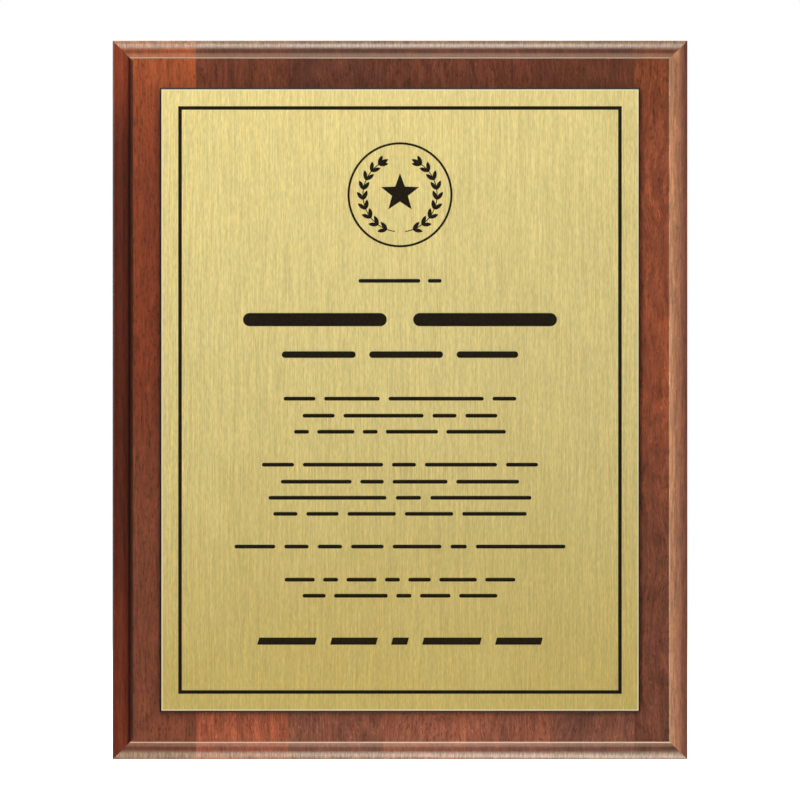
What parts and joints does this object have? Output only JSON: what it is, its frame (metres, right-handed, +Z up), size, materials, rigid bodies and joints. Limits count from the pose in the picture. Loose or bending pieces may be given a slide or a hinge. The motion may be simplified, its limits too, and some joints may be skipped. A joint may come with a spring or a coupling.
{
  "type": "wall plaque",
  "caption": "Rectangular hardwood award plaque with moulded edges, a brushed-gold engraved plate, a laurel and star emblem, and a keyhole hanger in its back.",
  "frame": {"origin": "centre of the flat back face, which lies on the wall", "axes": "+X to the right of a person facing the plaque, +Y out of the back into the wall, +Z up; the face looks along -Y"},
  "size_m": [0.3048, 0.0214, 0.381],
  "materials": {
    "wood_bright": "clear satin lacquer over reddish stain",
    "wood_mid": "clear satin lacquer over reddish stain",
    "wood_dark": "clear satin lacquer over reddish stain",
    "foam_tape": "closed-cell foam, matt",
    "core_black": "matt where engraved, satin on the bevelled edge",
    "brushed_gold": "metallised gold film with fine upright brush lines",
    "hanger_steel": "zinc-plated steel",
    "screw_steel": "yellow zinc-plated steel"
  },
  "bodies": {
    "root": {"stave_1": "wood_bright", "stave_2": "wood_mid", "stave_3": "wood_dark", "stave_4": "wood_mid", "stave_5": "wood_bright", "stave_6": "wood_dark", "stave_7": "wood_mid", "tape_left": "foam_tape", "tape_right": "foam_tape", "tape_top": "foam_tape", "tape_middle": "foam_tape", "tape_bottom": "foam_tape", "plate_core": "core_black", "cap_margin": "brushed_gold", "cap_field": "brushed_gold", "cap_emblem": "brushed_gold", "keyhole_hanger": "hanger_steel", "hanger_screws": "screw_steel"}
  },
  "joints": []
}
